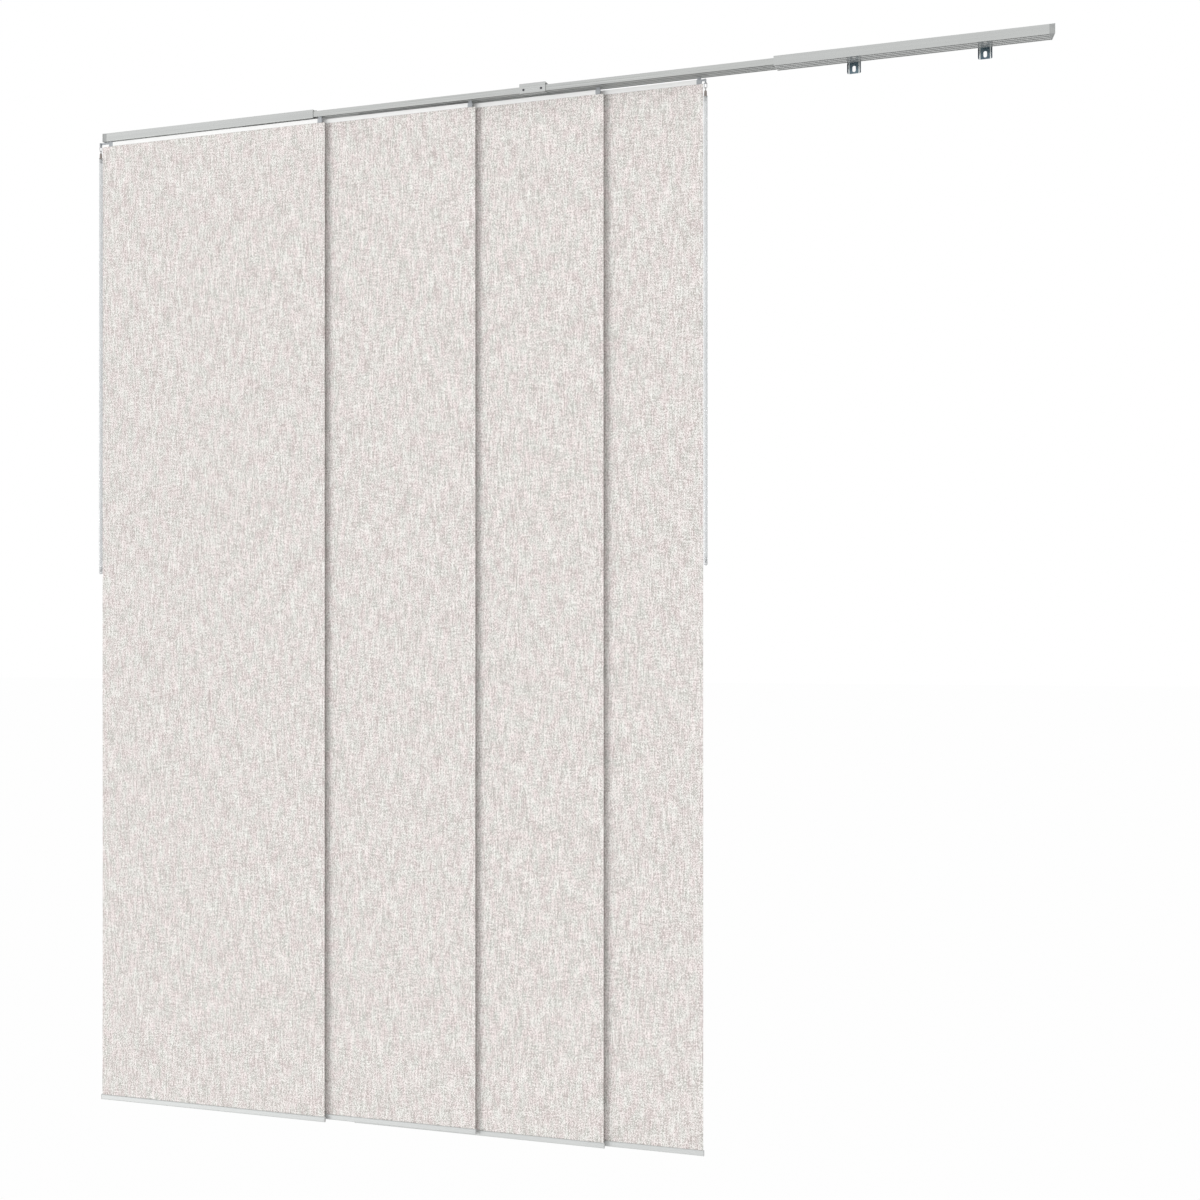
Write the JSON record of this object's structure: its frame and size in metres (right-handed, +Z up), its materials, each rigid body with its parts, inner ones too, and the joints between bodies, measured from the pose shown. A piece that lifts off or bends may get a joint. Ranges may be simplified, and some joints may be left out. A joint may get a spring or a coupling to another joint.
{
  "type": "panel track blind",
  "caption": "Wall-fixed telescoping multi-channel track with wide linen-look fabric panels that slide behind one another, weighted hem bars and draw wands.",
  "frame": {"origin": "on the wall, at the middle of the track's length, level with the brackets' lower screw slots", "axes": "+X along the track, +Y into the wall, +Z up"},
  "size_m": [2.1961, 0.0437, 2.3062],
  "materials": {
    "track_aluminium": "satin anodised",
    "cap_plastic": "moulded grey",
    "zinc_steel": "bright zinc",
    "wire_steel": "bright nickel",
    "ferrule_metal": "turned, satin",
    "wand_plastic": "clear white",
    "glider_plastic": "translucent grey",
    "screw_steel": "dark zinc",
    "carrier_white": "white coated",
    "tape_nylon": "hook tape",
    "linen": "slubbed linen weave",
    "hem_aluminium": "satin anodised",
    "hem_cap_plastic": "light grey"
  },
  "bodies": {
    "left_track": {"outer_track_left": "track_aluminium", "end_cap_left": "cap_plastic", "bracket_left_inner": "zinc_steel", "bracket_left_outer": "zinc_steel", "bracket_clips_left": "zinc_steel"},
    "middle": {"inner_rail_left_1": "track_aluminium", "inner_rail_left_2": "track_aluminium", "inner_rail_left_3": "track_aluminium", "inner_rail_left_4": "track_aluminium", "inner_rail_right_1": "track_aluminium", "inner_rail_right_2": "track_aluminium", "inner_rail_right_3": "track_aluminium", "inner_rail_right_4": "track_aluminium", "middle_sleeve": "track_aluminium", "sleeve_face_screws": "screw_steel", "sleeve_grub_screws": "screw_steel"},
    "right_track": {"outer_track_right": "track_aluminium", "end_cap_right": "cap_plastic", "bracket_right_inner": "zinc_steel", "bracket_right_outer": "zinc_steel", "bracket_clips_right": "zinc_steel"},
    "panel_1": {"carrier_1": "carrier_white", "glider_left_1": "glider_plastic", "glider_right_1": "glider_plastic", "hook_tape_1": "tape_nylon", "fabric_1": "linen", "hem_bar_1": "hem_aluminium", "hem_caps_1": "hem_cap_plastic"},
    "panel_2": {"carrier_2": "carrier_white", "glider_left_2": "glider_plastic", "glider_right_2": "glider_plastic", "hook_tape_2": "tape_nylon", "fabric_2": "linen", "hem_bar_2": "hem_aluminium", "hem_caps_2": "hem_cap_plastic"},
    "panel_3": {"carrier_3": "carrier_white", "glider_left_3": "glider_plastic", "glider_right_3": "glider_plastic", "hook_tape_3": "tape_nylon", "fabric_3": "linen", "hem_bar_3": "hem_aluminium", "hem_caps_3": "hem_cap_plastic"},
    "panel_4": {"carrier_4": "carrier_white", "glider_left_4": "glider_plastic", "glider_right_4": "glider_plastic", "hook_tape_4": "tape_nylon", "fabric_4": "linen", "hem_bar_4": "hem_aluminium", "hem_caps_4": "hem_cap_plastic"},
    "link_left": {"wand_link_left": "wire_steel"},
    "wand_left": {"wand_eye_left": "wire_steel", "wand_ferrule_left": "ferrule_metal", "wand_rod_left": "wand_plastic", "wand_tip_left": "wand_plastic"},
    "link_right": {"wand_link_right": "wire_steel"},
    "wand_right": {"wand_eye_right": "wire_steel", "wand_ferrule_right": "ferrule_metal", "wand_rod_right": "wand_plastic", "wand_tip_right": "wand_plastic"}
  },
  "joints": [
    {"name": "telescope_left", "type": "slide", "parent": "left_track", "child": "middle", "axis": [-1, 0, 0], "range_m": [0, 0.494]},
    {"name": "telescope_right", "type": "slide", "parent": "middle", "child": "right_track", "axis": [-1, 0, 0], "range_m": [0, 0.494]},
    {"name": "panel_1_slide", "type": "slide", "parent": "left_track", "child": "panel_1", "axis": [-1, 0, 0], "range_m": [-1.5886, 0]},
    {"name": "panel_2_slide", "type": "slide", "parent": "left_track", "child": "panel_2", "axis": [-1, 0, 0], "range_m": [-1.2233, 0.3553]},
    {"name": "panel_3_slide", "type": "slide", "parent": "left_track", "child": "panel_3", "axis": [-1, 0, 0], "range_m": [-0.9293, 0.6493]},
    {"name": "panel_4_slide", "type": "slide", "parent": "left_track", "child": "panel_4", "axis": [-1, 0, 0], "range_m": [-0.7073, 0.8673]},
    {"name": "wand_left_forward", "type": "hinge", "parent": "panel_1", "child": "link_left", "pos_m": [-1.0998, -0.0378, 0.0046], "axis": [-1, 0, 0], "range_deg": [0, 60]},
    {"name": "wand_left_sideways", "type": "hinge", "parent": "link_left", "child": "wand_left", "pos_m": [-1.0998, -0.0378, -0.0054], "axis": [0, 1, 0], "range_deg": [0, 60]},
    {"name": "wand_right_forward", "type": "hinge", "parent": "panel_4", "child": "link_right", "pos_m": [0.3785, -0.009, 0.0046], "axis": [-1, 0, 0], "range_deg": [0, 60]},
    {"name": "wand_right_sideways", "type": "hinge", "parent": "link_right", "child": "wand_right", "pos_m": [0.3785, -0.009, -0.0054], "axis": [0, -1, 0], "range_deg": [0, 60]}
  ]
}
